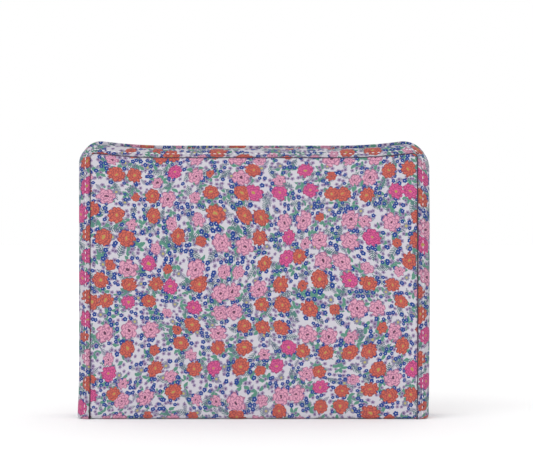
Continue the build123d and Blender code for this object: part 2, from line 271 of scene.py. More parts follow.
def makePrint():
    # the whole print as one group: a vector in millimetres in, a colour out
    scatter, rosette, leaf = makeScatter(), makeRosette(), makeLeaf()
    group, start, end = newGroup("flowerPrint", [("Vector", "Vector")], [("Color", "Color")])
    colour = {name: hexColour(value) for name, value in printColours.items()}
    colours = {"data_type": "RGBA"}

    def add(kind, settings, links):
        return addNode(group, kind, settings, links)

    # a slow wander so that no rows of flowers show
    flat = {"noise_dimensions": "2D"}
    place = start.outputs[0]
    drift = add("TexNoise", flat, {"Vector": place, "Scale": 1 / 75, "Detail": 0.0})
    centred = add("VectorMath", "SUBTRACT", (drift.outputs[1], (0.5, 0.5, 0.5)))
    wander = add("VectorMath", "MULTIPLY_ADD", (centred, (14, 14, 0), place))
    # and a quick one, which gives the larger motifs their hand-drawn edges
    shake = add("TexNoise", flat, {"Vector": place, "Scale": 1 / 3.4, "Detail": 1.0})
    unsteady = add("VectorMath", "SUBTRACT", (shake.outputs[1], (0.5, 0.5, 0.5)))

    def scattered(shift, spacing, jitter):
        cells = add("Group", {"node_tree": scatter}, (wander, (*shift, 0), spacing, jitter))
        return cells, add("SeparateColor", None, (cells.outputs["Random"],))

    def sketched(cells, amount):
        return add("VectorMath", "MULTIPLY_ADD", (unsteady, (amount, amount, 0), cells.outputs["Local"]))

    def flower(local, radius, petals, scallop, turn=0.0):
        return add("Group", {"node_tree": rosette}, (local, radius, petals, scallop, turn))

    def feathery(cloth, shift, spacing, tone, length, width, pitch):
        # a stem with slanted leaflets on both sides
        cells, random = scattered(shift, spacing, 0.85)
        axes = addNode(group, "SeparateXYZ", None, {0: cells.outputs["Local"]})
        aside = add("Math", "ABSOLUTE", (axes.outputs[1],))
        slant = add("Math", "MULTIPLY_ADD", (aside, -0.8, axes))
        leaflets = add("Math", "LESS_THAN", (add("Math", "PINGPONG", (slant, pitch)), pitch * 0.5))
        share = add("Math", "DIVIDE", (axes, length))
        taper = add("Math", "MULTIPLY_ADD", (add("Math", "MULTIPLY", (share, share)), -1.0, 1.0))
        within = add("Math", "LESS_THAN", (aside, add("Math", "MULTIPLY", (taper, width))))
        leafy = add("Math", "MULTIPLY", (leaflets, within))
        narrow = add("Math", "LESS_THAN", (aside, 0.25))
        stem = add("Math", "MULTIPLY", (narrow, add("Math", "GREATER_THAN", (taper, 0.0))))
        return add("Mix", colours, {0: add("Math", "MAXIMUM", (leafy, stem)), 6: cloth, 7: tone})

    cloth = feathery(colour["ground"], (3, 71), 12.5, colour["twig"], 4.2, 1.9, 0.65)

    # green leaves in sprigs
    for shift, spacing in (((5, 41), 18.5), ((83, 19), 22)):
        cells, random = scattered(shift, spacing, 0.9)
        for turn, length in ((0.0, 7.4), (0.95, 6.2), (-0.85, 6.6), (3.0, 6.0)):
            blade = add("Group", {"node_tree": leaf}, (sketched(cells, 1.6), turn, 0.6, length, 3.0))
            green = add("Mix", colours, {0: blade.outputs["Rib"], 6: colour["leaf"], 7: colour["fern"]})
            cloth = add("Mix", colours, {0: blade.outputs["Inside"], 6: cloth, 7: green})

    # soft lilac flowers, hardly more than dots, with a dark heart
    for shift, spacing in (((31, 3), 5.6), ((2, 57), 14.0)):
        cells, random = scattered(shift, spacing, 0.6)
        size = add("Math", "MULTIPLY_ADD", (random.outputs[2], 0.55, 1.5))
        dot = flower(cells.outputs[0], size, 5.0, 0.35)
        petals = add("Math", "MULTIPLY", (add("Math", "LESS_THAN", (dot, 1.0)), 0.88))
        cloth = add("Mix", colours, {0: petals, 6: cloth, 7: colour["lilac"]})
        heart = add("Math", "LESS_THAN", (dot, 0.46))
        cloth = add("Mix", colours, {0: heart, 6: cloth, 7: colour["lilacHeart"]})

    cloth = feathery(cloth, (13, 7), 17.5, colour["fern"], 6.8, 2.9, 0.85)

    # little grey daisies
    cells, random = scattered((61, 17), 25, 0.9)
    daisy = flower(cells.outputs[0], 2.8, 8.0, 0.35)
    cloth = add("Mix", colours, {0: add("Math", "LESS_THAN", (daisy, 1.0)), 6: cloth, 7: colour["daisy"]})
    heart = add("Math", "LESS_THAN", (daisy, 0.4))
    cloth = add("Mix", colours, {0: heart, 6: cloth, 7: colour["daisyHeart"]})

    # blue flowers with a white eye, in loose clusters
    for shift, spacing, presence in (((9, 23), 4.7, 0.58), ((47, 5), 10.5, 0.45)):
        cells, random = scattered(shift, spacing, 0.45)
        patches = add("TexNoise", flat, {"Vector": cells.outputs["Middle"], "Scale": 1 / 10, "Detail": 0.0})
        here = add("Math", "GREATER_THAN", (patches, presence))
        size = add("Math", "MULTIPLY_ADD", (random.outputs[2], 0.7, 1.5))
        ring = flower(cells.outputs[0], size, 5.0, 0.3)
        for share, tone in ((1.0, "blue"), (0.19, "blueEye")):
            mask = add("Math", "MULTIPLY", (add("Math", "LESS_THAN", (ring, share)), here))
            cloth = add("Mix", colours, {0: mask, 6: cloth, 7: colour[tone]})

    # the flowers, one to a cell: large and small coral, hot pink, large and small pale pink
    cells, random = scattered((0, 0), 19.0, 0.6)
    kind = random.outputs[1]
    isPink = add("Math", "COMPARE", (kind, 0.2, 0.065))
    isPale = add("Math", "GREATER_THAN", (kind, 0.66))
    smallPale = add("Math", "GREATER_THAN", (kind, 0.81))
    isSmall = add("Math", "MAXIMUM", (smallPale, add("Math", "COMPARE", (kind, 0.56, 0.09))))
    tones = []
    for part in ("", "Line"):
        strong = {0: isPink, 6: colour["coral" + part], 7: colour["pink" + part]}
        links = {0: isPale, 6: add("Mix", colours, strong), 7: colour["pale" + part]}
        tones.append(add("Mix", colours, links))
    petals, lines = tones
    radius = add("Math", "MULTIPLY_ADD", (random.outputs[2], 1.0, 6.5))
    radius = add("Math", "MULTIPLY_ADD", (isPale, 0.9, radius))
    radius = add("Math", "MULTIPLY_ADD", (isSmall, -2.6, radius))
    count = add("Math", "MULTIPLY_ADD", (add("Math", "MAXIMUM", (isPale, isSmall)), -3.0, 9.0))
    bloom = petals
    local = sketched(cells, 3.2)
    scallop = add("Math", "MULTIPLY_ADD", (isPale, 0.12, 0.2))
    for share, turn in ((1.0, 0.0), (0.72, pi / 2), (0.46, 0.0)):
        ring = flower(local, add("Math", "MULTIPLY", (radius, share)), count, scallop, turn)
        parting = add("Math", "MULTIPLY", (add("Math", "LESS_THAN", (ring.outputs["Lobe"], 0.26)), 0.8))
        band = add("Math", "MULTIPLY", (add("Math", "COMPARE", (ring, 0.93, 0.075 / share)), 0.75))
        marks = add("Math", "MAXIMUM", (parting, band))
        tone = add("Mix", colours, {0: marks, 6: petals, 7: lines})
        bloom = add("Mix", colours, {0: add("Math", "LESS_THAN", (ring, 1.0)), 6: bloom, 7: tone})
        if share == 1.0:
            whole = ring
    heart = add("Mix", colours, {0: isPale, 6: colour["olive"], 7: colour["plum"]})
    heart = add("Mix", colours, {0: isSmall, 6: heart, 7: colour["plum"]})
    bloom = add("Mix", colours, {0: add("Math", "LESS_THAN", (whole, 0.17)), 6: bloom, 7: heart})
    cloth = add("Mix", colours, {0: add("Math", "LESS_THAN", (whole, 1.0)), 6: cloth, 7: bloom})

    group.links.new(cloth.outputs[2], end.inputs["Color"])
    return group


flowerPrint = makePrint()


def makeCanvas(name, turn, shift, depth):
    # printed cotton canvas: matt, with a plain weave one can just make out; a depth below 1 darkens the whole
    # cloth, a painted shade
    material, tree, shader = newMaterial(name, "#ffffff", 0.85)
    shader.inputs["Sheen Weight"].default_value = 0.1
    shader.inputs["Specular IOR Level"].default_value = 0.25
    place = millimetres(tree, turn=turn, shift=shift)
    motif = addNode(tree, "Group", {"node_tree": flowerPrint}, {"Vector": place})
    threads = threadWaves(tree, place, (0.6, 0.6))  # real threads are 0.3 mm, too fine to show
    shade = addNode(tree, "MapRange", None, {"Value": threads, "To Min": 0.9 * depth, "To Max": 1.02 * depth})
    dyed = addNode(tree, "Mix", {"data_type": "RGBA", "blend_type": "MULTIPLY"}, {"Factor": 1.0})
    tree.links.new(motif.outputs[0], dyed.inputs[6])
    tree.links.new(shade.outputs[0], dyed.inputs[7])
    tree.links.new(dyed.outputs[2], shader.inputs["Base Color"])
    patterned(tree, shader, threads, 0.00012)
    return material


panelCanvas = makeCanvas("printedCottonCanvas", 0, (0, 0), 1.0)
gussetCanvas = makeCanvas("printedCottonStrip", 90, (37, 61), 0.86)  # the strips painted a shade darker, a painted shade on the same canvas as the panel


def makeWoven(name, dark, light, pitches, roughness, sheen, height):
    material, tree, shader = newMaterial(name, light, roughness)
    shader.inputs["Sheen Weight"].default_value = sheen
    shader.inputs["Specular IOR Level"].default_value = 0.3
    threads = threadWaves(tree, millimetres(tree), pitches)
    patterned(tree, shader, threads, height, 0.6, dark, light)
    return material


# smooth woven nylon: a faint sheen and very fine threads
liningNylon = makeWoven("wovenNylonLining", "#aba8b6", "#bdbac8", (0.7, 0.7), 0.55, 0.3, 0.00005)
# grosgrain binding: cross ribs that catch the light
grosgrain = makeWoven("grosgrainBinding", "#7f7890", "#a59eb5", (1.2, 0.5), 0.6, 0.3, 0.0002)
# polyester webbing: heavy ribs
webbing = makeWoven("polyesterWebbing", "#6f6880", "#9d96ad", (1.6, 1.1), 0.65, 0.2, 0.0004)
# polyester zip tape: a fine tight weave
zipTapeWeave = makeWoven("polyesterZipTape", "#a29fae", "#bcb9c7", (0.9, 0.6), 0.7, 0.15, 0.0001)

# spun polyester sewing thread: matt white with a twist
threadWhite, tree, shader = newMaterial("polyesterThread", "#f0eff4", 0.7, {"Specular IOR Level": 0.3})
coords = addNode(tree, "TexCoord")
links = {"Vector": coords.outputs["Object"], "Scale": 2 * pi / 20 / 0.0004}
twist = addNode(tree, "TexWave", {"bands_direction": "DIAGONAL"}, links)
patterned(tree, shader, twist.outputs[1], dark="#e2e1e8", light="#f8f8fa")

# nylon coil: slightly glossy moulded monofilament
coilNylon, tree, shader = newMaterial("nylonCoil", "#a7a3b3", 0.35, {"IOR": 1.53})
coords = addNode(tree, "TexCoord")
speckle = addNode(tree, "TexNoise", None, {"Vector": coords.outputs["Object"], "Scale": 900.0, "Detail": 2.0})
patterned(tree, shader, speckle, dark="#9a96a8", light="#b5b2c0")

# nickel-plated zinc: bright, with soft tumbling marks
nickel, tree, shader = newMaterial("nickelPlatedZinc", "#c9c7c2", 0.24, {"Metallic": 1.0})
coords = addNode(tree, "TexCoord")
tumble = addNode(tree, "TexNoise", None, {"Vector": coords.outputs["Object"], "Scale": 700.0, "Detail": 4.0})
rough = addNode(tree, "MapRange", None, {"Value": tumble, "To Min": 0.18, "To Max": 0.36})
tree.links.new(rough.outputs[0], shader.inputs["Roughness"])
patterned(tree, shader, tumble, 0.00004, 0.4)

# moulded acetal hook: satin plastic with a fine spark-eroded grain
acetal, tree, shader = newMaterial("mouldedAcetal", "#8f8a9c", 0.42, {"IOR": 1.48})
coords = addNode(tree, "TexCoord")
grain = addNode(tree, "TexNoise", None, {"Vector": coords.outputs["Object"], "Scale": 1500.0, "Detail": 3.0})
patterned(tree, shader, grain, 0.00005, 0.5, "#857f94", "#9a94a8")

# closed-cell foam: matt, with tiny cells
foamWhite, tree, shader = newMaterial("closedCellFoam", "#d8d8da", 0.9)
coords = addNode(tree, "TexCoord")
pores = addNode(tree, "TexVoronoi", None, {"Vector": coords.outputs["Object"], "Scale": 1200.0})
patterned(tree, shader, pores, 0.0002, 0.6, "#c4c4c8", "#e2e2e4")

# plum sewing thread and the cloth's cut edge in the seam: a real edge whose dark colour is painted shade, the
# seam's shadow line
seamPaintedShade, tree, shader = newMaterial("seamThreadPaintedShade", "#473a4c", 0.9, {"Specular IOR Level": 0.1})
coords = addNode(tree, "TexCoord")
lay = addNode(tree, "TexNoise", None, {"Vector": coords.outputs["Object"], "Scale": 400.0})
patterned(tree, shader, lay, dark="#3a2f40", light="#5d4d62")

# clear soft vinyl: glossy and see-through, with a faint milkiness
vinyl, tree, shader = newMaterial("clearSoftVinyl", "#e3e8ee", 0.12, {"IOR": 1.52, "Alpha": 0.22})
coords = addNode(tree, "TexCoord")
haze = addNode(tree, "TexNoise", None, {"Vector": coords.outputs["Object"], "Scale": 45.0, "Detail": 2.0})
rough = addNode(tree, "MapRange", None, {"Value": haze, "To Min": 0.06, "To Max": 0.2})
tree.links.new(rough.outputs[0], shader.inputs["Roughness"])
patterned(tree, shader, haze, 0.0015, 0.5)

# knitted polyester mesh: small round holes in staggered rows, drawn twice as coarse as real
net, tree, shader = newMaterial("knittedPolyesterMesh", "#c7c5d0", 0.7, {"Specular IOR Level": 0.3})
place = millimetres(tree)
holes = addNode(
    tree,
    "TexVoronoi",
    {"voronoi_dimensions": "2D", "feature": "F1"},
    {"Vector": place, "Scale": 1 / 1.9, "Randomness": 0.0},
)
cover = addNode(tree, "Math", "GREATER_THAN", (holes.outputs["Distance"], 0.33))
alpha = addNode(tree, "Math", "MAXIMUM", (cover, 0.12))
tree.links.new(alpha.outputs[0], shader.inputs["Alpha"])
patterned(tree, shader, holes, dark="#b5b3c0", light="#cfcdd8")
report("materials")


# paths of straight runs and arcs
def onward(x, z, heading, length, turn):
    # the end of one run
    if abs(turn) < 1e-6:
        return x + length * cos(heading), z + length * sin(heading), heading
    radius = length / turn
    far = heading + turn
    return x + radius * (sin(far) - sin(heading)), z - radius * (cos(far) - cos(heading)), far


def walk(path, run, share):
    x, z, heading = path["start"]
    for length, turn in path["runs"][:run]:
        x, z, heading = onward(x, z, heading, length, turn)
    length, turn = path["runs"][run]
    return onward(x, z, heading, length * share, turn * share)


def runAt(path, distance):
    for run, (length, turn) in enumerate(path["runs"]):
        if distance <= length or run == len(path["runs"]) - 1:
            return run, distance / max(length, 1e-9)
        distance -= length


def pathLength(path):
    return sum(length for length, turn in path["runs"])


def ripple(x, z, size, seed):
    return noise.noise(Vector((x / size, z / size, seed)))


# cloth, cut flat and then bent to its place
def cutCloth(name, columns, rows, cut, bend, material, body=None, trim=None):
    # cut gives the flat place of a share across and along; bend gives the place of a flat place
    mesh = bmesh.new()
    bmesh.ops.create_grid(mesh, x_segments=columns, y_segments=rows, size=1)
    for vert in mesh.verts:
        vert.co = (*cut(vert.co.x, vert.co.y), 0)
    if trim:
        trim(mesh)
    bmesh.ops.recalc_face_normals(mesh, faces=mesh.faces)
    area = sum(face.calc_area() for face in mesh.faces)
    layer = mesh.loops.layers.uv.new("cloth")
    for face in mesh.faces:
        face.smooth = True
        for corner in face.loops:
            corner[layer].uv = corner.vert.co.xy
    for vert in mesh.verts:
        vert.co = bend(vert.co.x, vert.co.y)
    piece = finishPiece(name, mesh, material, body)
    return piece


def finishPiece(name, mesh, material, body=None):
    data = bpy.data.meshes.new(name)
    mesh.to_mesh(data)
    mesh.free()
    data.materials.append(material)
    piece = bpy.data.objects.new(name, data)
    bpy.context.collection.objects.link(piece)
    if body:
        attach(piece, body)
    return piece


def faceAway(piece, middle, away=1):
    # turns the whole sheet over if it faces the middle, or with away -1 if it doesn't
    mesh = bmesh.new()
    mesh.from_mesh(piece.data)
    facing = 0.0
    for face in mesh.faces:
        facing += (face.calc_center_median() - middle).dot(face.normal) * face.calc_area()
    if facing * away < 0:
        bmesh.ops.reverse_faces(mesh, faces=mesh.faces)
    mesh.to_mesh(piece.data)
    mesh.free()


def thicken(piece, thickness, offset=0):
    # offset 1 grows outwards, -1 inwards
    wall = piece.modifiers.new("ply", "SOLIDIFY")
    wall.thickness = thickness
    wall.offset = offset
    wall.use_even_offset = False


def rowOfGrains(name, places, size, material, body):
    # the same small rounded grain at each place: (middle, turn matrix)
    mesh = bmesh.new()
    for middle, turned in places:
        matrix = Matrix.Translation(middle) @ turned.to_4x4() @ Matrix.Diagonal((*size, 1))
        bmesh.ops.create_icosphere(mesh, subdivisions=1, radius=0.5, matrix=matrix)
    for face in mesh.faces:
        face.smooth = True
    return finishPiece(name, mesh, material, body)


# the case's outline
case = {
    "cornerLeft": 17.5 * mm,
    "cornerRight": 21 * mm,
    "backSpread": 1.2 * mm,  # of the back half's sides, which show beyond the front's
    "flare": 1.6 * mm,  # of the left side at its foot
    "belly": 0.9 * mm,  # of the right side below its corner
    "sag": 3.8 * mm,
    "levelHalf": 75 * mm,
    "baseRadius": 4 * mm,
    "frontDrop": 2.0 * mm,  # of the front half's top, below the frame
    "backLift": 2.2 * mm,  # of the back half's top, above the frame
    "seamSide": 10.4 * mm,
    "seamTop": 8.2 * mm,
    "seamCorner": 5 * mm,
    "seamDepth": 2.2 * mm,
    "seamEdge": 0.8 * mm,  # radius of the folded edge in the seam
    "seamRaised": 0.9 * mm,  # of that edge above the groove's floor
    "seamFoot": 2.2 * mm,
    "mouth": 8 * mm,  # from the middle plane to each half's edge
    "tapeInset": 5.05 * mm,
}
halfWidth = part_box("front_gusset")[1][0]
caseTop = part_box("front_gusset")[1][2]
halfDepth = -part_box("front_panel")[0][1]


def casePath(side, over, corners, wrap=0.0, wrapRadius=0.4 * mm, foot=0.2 * mm):
    # round the case from under its left side, over the top, to under its right side
    half = halfWidth - side
    top = caseTop - over
    shapes = []
    for corner in corners:
        reach = half - case["levelHalf"] - corner
        turn = 2 * atan(case["sag"] / reach)
        shapes.append((corner, turn, (reach / sin(turn) - corner) * turn))
    (left, leftTurn, leftSag), (right, rightTurn, rightSag) = shapes
    runs = [
        (wrap, 0),
        (wrapRadius * pi / 2, -pi / 2),
        (top - left - foot - wrapRadius, 0),
        (left * (pi / 2 + leftTurn), -pi / 2 - leftTurn),
        (leftSag, leftTurn),
        (2 * case["levelHalf"], 0),
        (rightSag, rightTurn),
        (right * (pi / 2 + rightTurn), -pi / 2 - rightTurn),
        (top - right - foot - wrapRadius, 0),
        (wrapRadius * pi / 2, -pi / 2),
        (wrap, 0),
    ]
    return {"start": (-half + wrapRadius + wrap, foot, pi), "runs": runs}


outerCorners = (case["cornerLeft"], case["cornerRight"])
halves = {
    "front": {"side": -1, "body": "cover", "lift": -case["frontDrop"]},
    "back": {"side": 1, "body": "back", "lift": case["backLift"]},
}


def seamPath(lift, more=0.0):
    corners = (case["seamCorner"], case["seamCorner"])
    return casePath(case["seamSide"] - more, case["seamTop"] - lift - more, corners, 0.3 * mm)


# the gusset strips
gussetShape = {
    "turnedEdge": 3.8 * mm,
    "edgeRadius": 0.8 * mm,
    "shoulder": 10.5 * mm,
    "shoulderTurn": radians(73),
    "flat": 12.1 * mm,
    "slope": 2.75 * mm,
    "tuckRadius": 0.7 * mm,
    "seamReach": 11 * mm,
    "stitchPitch": 4.5 * mm,
    "stitchOut": 3.4 * mm,  # of the topstitch beyond the seam
    "stitch": (3.3 * mm, 0.62 * mm, 0.55 * mm),
    "folds": {  # at the middles of the top corners, in the front half: place, width and height
        "right": ((1 * mm, 1.4 * mm, -2.8 * mm), (5 * mm, 2 * mm, 1.2 * mm), (-4 * mm, 2.2 * mm, 1.1 * mm)),
        "left": [(turn * mm, 1.1 * mm, 0.8 * mm) for turn in (-7, -2.4, 2.2, 6.5)],
    },
}


def standsOut(x, z):
    # how the sides stand out: a flare at the left foot, a belly on the right
    share = max(0.0, (abs(x) - halfWidth + 30 * mm) / (30 * mm))
    if x < 0:
        return -case["flare"] * share * max(0.0, 1 - z / (45 * mm)) ** 2
    return case["belly"] * share * sin(min(1.0, max(0.0, (caseTop - z) / (230 * mm))) * pi) ** 0.5


def makeGusset(label):
    half = halves[label]
    side, lift = half["side"], half["lift"]
    outer = casePath(-case["backSpread"] if side > 0 else 0, -lift, outerCorners, 6 * mm, 3 * mm)
    seam = seamPath(lift)
    inner = casePath(4.6 * mm, 4.6 * mm, [c - 4.6 * mm for c in outerCorners], 3 * mm, 0.8 * mm, 4.6 * mm)
    g = gussetShape
    runs = [
        (g["turnedEdge"], 0),
        (g["edgeRadius"] * pi / 2, -pi / 2),
        (g["flat"], 0),
        (g["shoulder"] * g["shoulderTurn"], -g["shoulderTurn"]),
        (g["slope"], 0),
        (g["tuckRadius"] * radians(107), -radians(107)),
        (0.9 * mm, 0),
    ]
    section = {"start": (4.6 * mm, case["mouth"] + 0.6 * mm, pi), "runs": runs}
    width, length = pathLength(outer), pathLength(section)
    grooveLength = g["turnedEdge"] + g["edgeRadius"] * pi / 2
    seamAlong = length - 2.2 * mm
    cornerStarts = [sum(run[0] for run in outer["runs"][:count]) for count in (3, 4, 7, 8)]
    leftMiddle = (cornerStarts[0] + cornerStarts[1]) / 2
    rightMiddle = (cornerStarts[2] + cornerStarts[3]) / 2

    def cut(s, t):
        return width * (s + 1) / 2, length * (t + 1) / 2

    def bend(u, v):
        run, share = runAt(outer, u)
        inset, depth, heading = walk(section, *runAt(section, v))
        x, z, forward = walk(outer, run, share)
        target, reach = (inner, 4.6 * mm) if v < grooveLength else (seam, g["seamReach"])
        farX, farZ, _ = walk(target, run, share)
        there = Vector((x, 0, z)).lerp(Vector((farX, 0, farZ)), min(1.0, inset / reach))
        near = max(0.0, 1 - abs(v - seamAlong + 1.5 * mm) / (7 * mm))
        wave = 0.26 * mm * near * sin(u / (9.3 * mm) * 2 * pi + 3 * ripple(u, 0, 50 * mm, 4))
        wave += 0.55 * mm * ripple(u, v, 17 * mm, 3 + side) * min(1.0, v / (14 * mm))
        if side < 0:
            fold = near ** 0.5 if near > 0 else 0.0
            for corner, middle in (("right", rightMiddle), ("left", leftMiddle)):
                for place, wide, height in g["folds"][corner]:
                    wave += fold * height * exp(-(((u - middle - place) / wide) ** 2))
        if v > seamAlong:
            wave *= max(0.0, 1 - (v - seamAlong) / (2.2 * mm))
        return Vector((there.x + standsOut(there.x, there.z), side * (depth + wave), there.z))

    piece = cutCloth(
        f"{label}_gusset_cloth",
        ceil(width / (2.2 * mm)),
        ceil(length / (0.95 * mm)),
        cut,
        bend,
        gussetCanvas,
        half["body"],
    )
    faceAway(piece, Vector((0, side * 15 * mm, 115 * mm)))
    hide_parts(f"{label}_gusset")

    stitches = []
    pitch = g["stitchPitch"]
    across = seamAlong - g["stitchOut"]
    for index in range(int(width / pitch)):
        u = (index + 0.5) * pitch
        if u < 12 * mm or u > width - 12 * mm:
            continue
        middle = bend(u, across)
        forward = (bend(u + 0.5 * mm, across) - bend(u - 0.5 * mm, across)).normalized()
        sideways = (bend(u, across + 0.4 * mm) - bend(u, across - 0.4 * mm)).normalized()
        up = forward.cross(sideways).normalized()
        if up.dot(Vector((0, side, 0))) < 0:
            up = -up
        turned = Matrix((forward, up.cross(forward), up)).transposed()
        stitches.append((middle + up * 0.02 * mm, turned))
    row = rowOfGrains(f"{label}_topstitch", stitches, g["stitch"], threadWhite, half["body"])


for label in halves:
    makeGusset(label)
report("gusset strips")


# the canvas panel, one cloth from the front's top seam under the base to the back's
panelShape = {
    "frontCrown": 1.0 * mm,
    "backCrown": 0.0,
    "slowWave": 0.75 * mm,
    "quickWave": 0.3 * mm,
    "pucker": 0.22 * mm,
    "underlap": 0.9 * mm,  # of the panel beneath the gusset at the seam
}


def topLine(path):
    # the top of a seam as a list of points, left to right
    points = []
    for run in (3, 4, 5, 6, 7):
        for step in range(40):
            x, z, heading = walk(path, run, step / 39)
            points.append((x, z))
    return points


def heightAt(points, x):
    for (nearX, nearZ), (farX, farZ) in zip(points, points[1:]):
        if nearX <= x <= farX and farX > nearX:
            return nearZ + (farZ - nearZ) * (x - nearX) / (farX - nearX)
    return points[0][1] if x < 0 else points[-1][1]


def makePanel():
    lines = {}
    for half in halves.values():
        lines[half["side"]] = topLine(seamPath(half["lift"], panelShape["underlap"]))
    halfPanel = halfWidth - case["seamSide"] + panelShape["underlap"]
    radius = case["baseRadius"]
    baseRun = halfDepth - radius
    profile = {"start": (0, 0.15 * mm, 0), "runs": [(baseRun, 0), (radius * pi / 2, pi / 2), (1, 0)]}
    heights = {}

    def topAt(side, x):
        keyed = (side, round(x, 6))
        if keyed not in heights:
            heights[keyed] = heightAt(lines[side], x)
        return heights[keyed]

    def cut(s, t):
        x = halfPanel * (0.8 * s + 0.2 * sin(s * pi / 2))
        side = -1 if t < 0 else 1
        face = topAt(side, x) - radius
        return x, t * (baseRun + radius * pi / 2 + face)

    def bend(u, v):
        side = -1 if v < 0 else 1
        depth, z, heading = walk(profile, *runAt(profile, abs(v)))
        top = topAt(side, u)
        sideEdge = halfPanel - abs(u)
        ends = min(sideEdge, top - z)
        tuck = max(0.0, 1 - ends / (2.8 * mm)) ** 1.5 * case["seamDepth"]
        up = max(0.0, sin(heading))
        crown = panelShape["frontCrown"] if side < 0 else panelShape["backCrown"]
        room = min(ends, z + 10 * mm)
        rise = crown * min(1.0, max(0.0, room) / (45 * mm)) ** 0.7
        wave = panelShape["slowWave"] * ripple(u, z, 62 * mm, 1.7 * side)
        wave += panelShape["quickWave"] * ripple(u, z, 24 * mm, 5.3 * side)
        near = max(0.0, 1 - ends / (16 * mm))
        along = z if sideEdge < top - z else u
        wave += panelShape["pucker"] * near * sin(along / (9 * mm) * 2 * pi + 2 * ripple(u, z, 40 * mm, 9))
        if side > 0:
            wave = min(0.0, wave - 0.3 * mm)
        soft = min(1.0, max(0.0, ends) / (4 * mm))
        y = depth - tuck * up + (rise + wave * soft) * up * min(1.0, z / (12 * mm))
        return Vector((u, side * y, z + tuck * (1 - up) * 0.5))

    columns, rows = 170, 2 * ceil((caseTop + halfDepth) / (2.5 * mm) / 2) * 2
    piece = cutCloth("canvas_panel", columns, rows, cut, bend, panelCanvas, None)
    faceAway(piece, Vector((0, 0, 115 * mm)))
    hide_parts("front_panel", "back_panel")
    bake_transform(piece)


makePanel()
report("canvas panel")

# the seam's folded edge, deep in the groove between gusset and panel, dark plum as a painted shadow line
def makeSeam(label):
    half = halves[label]
    path = seamPath(half["lift"], -0.1 * mm)
    length = pathLength(path)
    edgeRadius = case["seamEdge"]

    def cut(s, t):
        return length * (s + 1) / 2, pi * edgeRadius * t

    def bend(u, v):
        x, z, heading = walk(path, *runAt(path, u))
        z = max(z, case["seamFoot"])  # clear of the other half's when the case is open
        out = Vector((-sin(heading), 0, cos(heading)))
        deep = halfDepth - case["seamDepth"] + case["seamRaised"]
        turn = v / edgeRadius
        return Vector((x, half["side"] * (deep + edgeRadius * cos(turn)), z)) + out * edgeRadius * sin(turn)

    columns = ceil(length / (3 * mm))
    piece = cutCloth(f"{label}_seam_edge_painted_shade", columns, 8, cut, bend, seamPaintedShade, half["body"])


for label in halves:
    makeSeam(label)


# the main zip
zipShape = {
    "tapeFar": 14 * mm,
    "tapeNear": 0.9 * mm,
    "tapePly": 0.6 * mm,
    "tapeFoot": 5.3 * mm,
    "pitch": 1.9 * mm,
    "tooth": (1.05 * mm, 3.3 * mm, 1.75 * mm),
    "toothMiddle": 1.55 * mm,  # from the middle plane
    "coilFoot": 4.2 * mm,  # of the first tooth along the tape
    "bindingNear": 14.3 * mm,
    "bindingFar": 20.6 * mm,
}


def mouthPath(inset, foot):
    return casePath(inset, inset, [c - inset for c in outerCorners], 0.1 * mm, 0.4 * mm, foot)


def alongMouth(path, u, y, raised=0.0):
    x, z, heading = walk(path, *runAt(path, u))
    return Vector((x - sin(heading) * raised, y, z + cos(heading) * raised))


def mouthFrame(path, u):
    # along, towards the back, outwards
    heading = walk(path, *runAt(path, u))[2]
    return Matrix(((cos(heading), 0, -sin(heading)), (0, 1, 0), (sin(heading), 0, cos(heading))))


def makeMouth(label):
    half = halves[label]
    side, body = half["side"], half["body"]
    z = zipShape
    path = mouthPath(case["tapeInset"], z["tapeFoot"])
    length = pathLength(path)
    columns = ceil(length / (3 * mm))

    def cutTape(s, t):
        return length * (s + 1) / 2, z["tapeNear"] + (z["tapeFar"] - z["tapeNear"]) * (t + 1) / 2

    def bendTape(u, v):
        return alongMouth(path, u, side * v, 0.08 * mm * ripple(u, v, 9 * mm, 2))

    tape = cutCloth(f"{label}_zip_tape_cloth", columns, 8, cutTape, bendTape, zipTapeWeave, body)
    faceAway(tape, Vector((0, 0, 115 * mm)))
    thicken(tape, z["tapePly"])
    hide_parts(f"{label}_zip_tape")

    teeth = []
    count = int((length - 2 * z["coilFoot"]) / z["pitch"])
    for index in range(count):
        u = z["coilFoot"] + (index + (0.5 if side > 0 else 0.0)) * z["pitch"]
        teeth.append((alongMouth(path, u, side * z["toothMiddle"]), mouthFrame(path, u)))
    coil = rowOfGrains(f"{label}_zip_teeth", teeth, z["tooth"], coilNylon, body)
    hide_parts(f"{label}_zip_coil")

    def cutBinding(s, t):
        return length * (s + 1) / 2, z["bindingNear"] + (z["bindingFar"] - z["bindingNear"]) * (t + 1) / 2

    def bendBinding(u, v):
        crown = 1 - (2 * (v - z["bindingNear"]) / (z["bindingFar"] - z["bindingNear"]) - 1) ** 2
        return alongMouth(path, u, side * v, -(0.15 + 0.4 * crown) * mm + 0.1 * mm * ripple(u, v, 8 * mm, 6))

    binding = cutCloth(f"{label}_rim_binding_cloth", columns, 6, cutBinding, bendBinding, grosgrain, body)
    faceAway(binding, Vector((0, 0, 115 * mm)), -1)
    thicken(binding, 0.4 * mm)
    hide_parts(f"{label}_rim_binding")

    stitches = []
    for index in range(int(length / (4 * mm)) - 1):
        u = (index + 0.7) * 4 * mm
        stitches.append((alongMouth(path, u, side * 16 * mm, -0.75 * mm), mouthFrame(path, u)))
        stitches.append((alongMouth(path, u, side * 6.2 * mm, 0.32 * mm), mouthFrame(path, u)))
    row = rowOfGrains(f"{label}_mouth_stitches", stitches, (2.8 * mm, 0.5 * mm, 0.4 * mm), threadWhite, body)


for label in halves:
    makeMouth(label)
report("main zip")


# the lining of each half, with its foam behind it
liningShape = {
    "half": 147.8 * mm,
    "floor": 27.55 * mm,
    "rim": 8.5 * mm,  # from the middle plane to the lining's edge
    "low": 4.6 * mm,
    "high": 231.7 * mm,
    "fold": 9 * mm,
    "corner": 9 * mm,
    "foam": 2.1 * mm,
}


